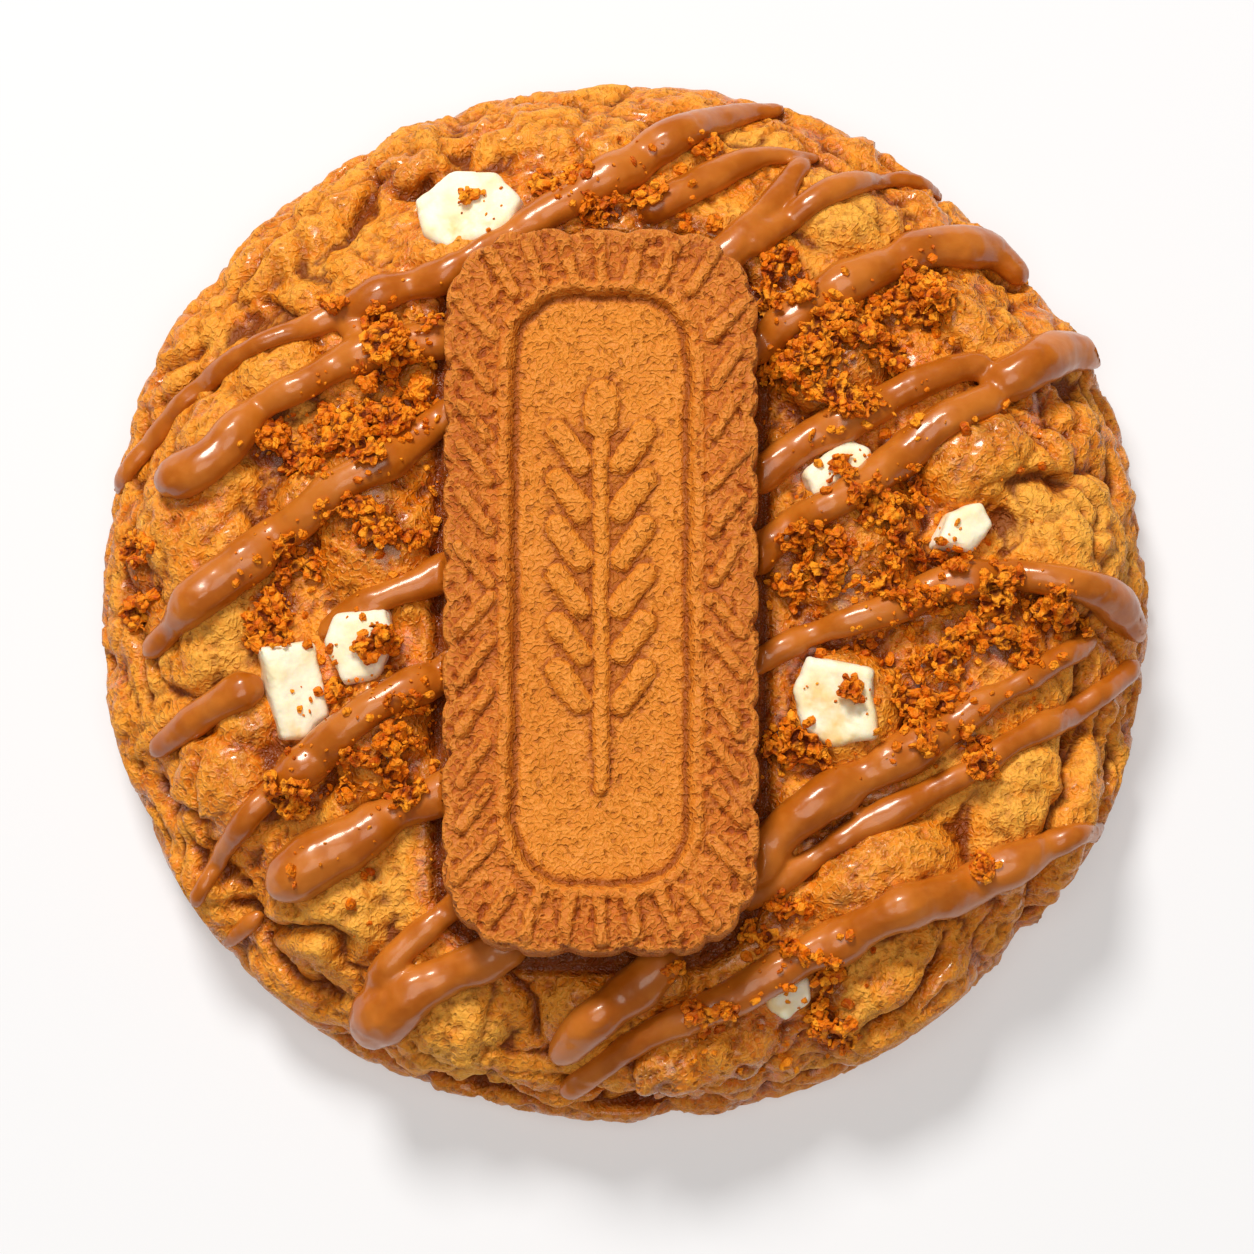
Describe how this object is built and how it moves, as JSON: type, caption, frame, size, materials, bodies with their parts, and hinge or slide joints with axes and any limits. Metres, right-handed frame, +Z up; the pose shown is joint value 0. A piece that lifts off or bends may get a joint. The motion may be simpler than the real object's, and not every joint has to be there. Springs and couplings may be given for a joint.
{
  "type": "speculoos topped cookie",
  "caption": "Thick craggy round cookie with a whole speculoos biscuit pressed on top, white chocolate chunks, a caramel spread drizzle and biscuit crumbs.",
  "frame": {"origin": "middle of the cookie's flat base, on the surface that it rests on", "axes": "+Z up; +Y along the speculoos biscuit's long side, away from the viewer; +X to the viewer's right"},
  "size_m": [0.104, 0.104, 0.0284],
  "materials": {
    "dough": "baked golden-brown dough, rough and grainy",
    "biscuit": "crisp caramel-brown biscuit, matte",
    "white_chocolate": "smooth creamy white chocolate, soft shine"
  },
  "bodies": {
    "root": {"cookie": "dough", "biscuit": "biscuit", "white_chunk_far_left": "white_chocolate", "white_chunk_left": "white_chocolate", "white_chunk_left_inner": "white_chocolate", "white_chunk_right_upper": "white_chocolate", "white_chunk_right": "white_chocolate", "white_chunk_right_lower": "white_chocolate", "white_chunk_near": "white_chocolate"}
  },
  "joints": []
}
